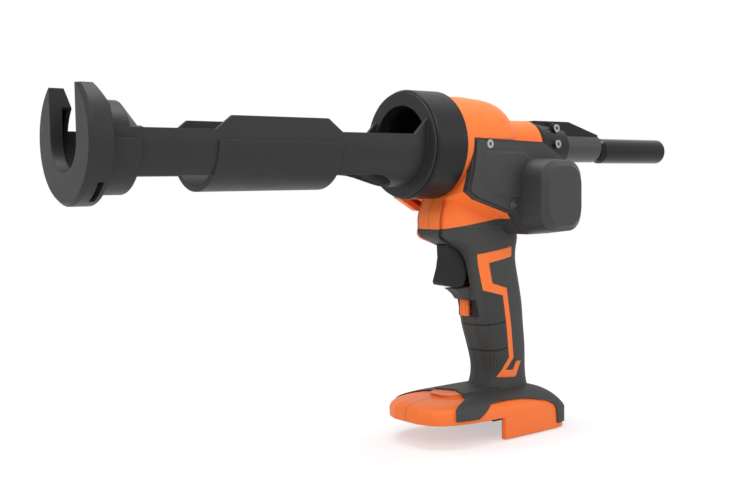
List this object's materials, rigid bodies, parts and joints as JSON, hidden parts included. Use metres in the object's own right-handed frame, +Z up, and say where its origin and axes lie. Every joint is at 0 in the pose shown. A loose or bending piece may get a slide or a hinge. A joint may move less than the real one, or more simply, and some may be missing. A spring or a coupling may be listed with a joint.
{
  "type": "cordless caulking tool",
  "caption": "Pistol-grip cordless caulking tool with an open half-barrel carriage, rack plunger, side motor bulge and a slide-on battery foot.",
  "frame": {"origin": "on the barrel axis at the front face of the carriage's rear flange, where the cartridge's back end sits", "axes": "+X along the barrel axis towards the rear knob, +Y towards the tool's right, +Z up"},
  "size_m": [0.5155, 0.0938, 0.2419],
  "materials": {
    "orange_plastic": "satin moulded",
    "grey_rubber": "fine ribbed overmould",
    "grey_plastic": "fine grained",
    "black_paint": "matt powder coat",
    "black_plastic": "fine grained",
    "black_gloss": "gloss",
    "bright_steel": "zinc plated",
    "steel": "machined",
    "tube_metal": "satin",
    "cast_alloy": "cast",
    "dark_magnet": "sintered",
    "bronze": "sintered",
    "board": "coated",
    "wire_cover": "smooth"
  },
  "bodies": {
    "housing": {"contact_blades": "bronze", "control_board": "board", "cover_screws": "bright_steel", "foot_skin_left": "grey_rubber", "foot_skin_right": "grey_rubber", "front_bush": "black_plastic", "gear_cover": "orange_plastic", "gear_frame": "cast_alloy", "gearbox_plate": "cast_alloy", "grip_skin_left": "grey_rubber", "grip_skin_right": "grey_rubber", "grip_stripe_left": "orange_plastic", "grip_stripe_right": "orange_plastic", "housing_left": "orange_plastic", "housing_right": "orange_plastic", "housing_screws": "bright_steel", "lock_guide": "black_plastic", "motor_bearing_left": "bronze", "motor_bearing_right": "bronze", "motor_can": "steel", "motor_cap": "black_plastic", "motor_cover": "grey_plastic", "motor_magnets": "dark_magnet", "motor_wires": "wire_cover", "nose_socket": "black_plastic", "pinion_bearing_left": "bronze", "pinion_bearing_right": "bronze", "power_wires": "wire_cover", "rear_bush": "black_plastic", "ring_gear": "steel", "switch_body": "black_plastic", "tail_screws": "bright_steel", "tail_shroud": "black_gloss", "tail_tube": "tube_metal", "terminal_block": "black_plastic", "transfer_pin": "steel", "trigger_spring": "bright_steel"},
    "carriage": {"carriage_frame": "black_paint", "carriage_retainer": "steel"},
    "collar": {"lock_collar": "black_plastic"},
    "plunger": {"plunger_rod": "steel", "piston": "black_paint", "piston_screw": "bright_steel", "rod_knob": "black_gloss"},
    "pinion": {"pinion_shaft": "steel", "drive_gear": "steel"},
    "transfer": {"transfer_gear": "steel", "clutch_disc": "steel"},
    "rotor": {"rotor": "steel"},
    "carrier": {"planet_carrier": "steel"},
    "planet_1": {"planet_gear_1": "steel"},
    "planet_2": {"planet_gear_2": "steel"},
    "planet_3": {"planet_gear_3": "steel"},
    "trigger": {"trigger": "black_plastic"},
    "lock": {"lock_button": "orange_plastic"}
  },
  "joints": [
    {"name": "carriage_turn", "type": "hinge", "parent": "housing", "child": "carriage", "pos_m": [0.006, 0, 0], "axis": [1, 0, 0], "continuous": true},
    {"name": "collar_turn", "type": "hinge", "parent": "housing", "child": "collar", "pos_m": [0.0146, 0, 0], "axis": [1, 0, 0], "range_deg": [0, 90]},
    {"name": "rod_slide", "type": "slide", "parent": "housing", "child": "plunger", "axis": [1, 0, 0], "range_m": [0, 0.222]},
    {"name": "pinion_turn", "type": "hinge", "parent": "housing", "child": "pinion", "pos_m": [0.092, 0, -0.01225], "axis": [0, 1, 0], "continuous": true},
    {"name": "transfer_turn", "type": "hinge", "parent": "housing", "child": "transfer", "pos_m": [0.10186, 0.0235, -0.03792], "axis": [0, 1, 0], "continuous": true},
    {"name": "rotor_turn", "type": "hinge", "parent": "housing", "child": "rotor", "pos_m": [0.10186, -0.022, -0.03792], "axis": [0, 1, 0], "continuous": true},
    {"name": "carrier_turn", "type": "hinge", "parent": "housing", "child": "carrier", "pos_m": [0.10186, 0.0165, -0.03792], "axis": [0, 1, 0], "continuous": true},
    {"name": "planet_1_turn", "type": "hinge", "parent": "carrier", "child": "planet_1", "pos_m": [0.10186, 0.0105, -0.02832], "axis": [0, 1, 0], "continuous": true},
    {"name": "planet_2_turn", "type": "hinge", "parent": "carrier", "child": "planet_2", "pos_m": [0.09354, 0.0105, -0.04272], "axis": [0, 1, 0], "continuous": true},
    {"name": "planet_3_turn", "type": "hinge", "parent": "carrier", "child": "planet_3", "pos_m": [0.11017, 0.0105, -0.04272], "axis": [0, 1, 0], "continuous": true},
    {"name": "trigger_pull", "type": "slide", "parent": "housing", "child": "trigger", "axis": [1, 0, 0], "range_m": [0, 0.006], "stiffness_N_per_m": 1000, "springref_m": -0.004, "deforming": ["trigger_spring"]},
    {"name": "lock_push", "type": "slide", "parent": "housing", "child": "lock", "axis": [0, -1, 0], "range_m": [0, 0.004]}
  ],
  "couplings": [
    {"joint": "pinion_turn", "follows": "rod_slide", "rad_per_m": 133.33},
    {"joint": "transfer_turn", "follows": "rod_slide", "rad_per_m": -175.44},
    {"joint": "carrier_turn", "follows": "rotor_turn", "ratio": 0.25},
    {"joint": "planet_1_turn", "follows": "rotor_turn", "ratio": -0.75},
    {"joint": "planet_2_turn", "follows": "rotor_turn", "ratio": -0.75},
    {"joint": "planet_3_turn", "follows": "rotor_turn", "ratio": -0.75}
  ]
}
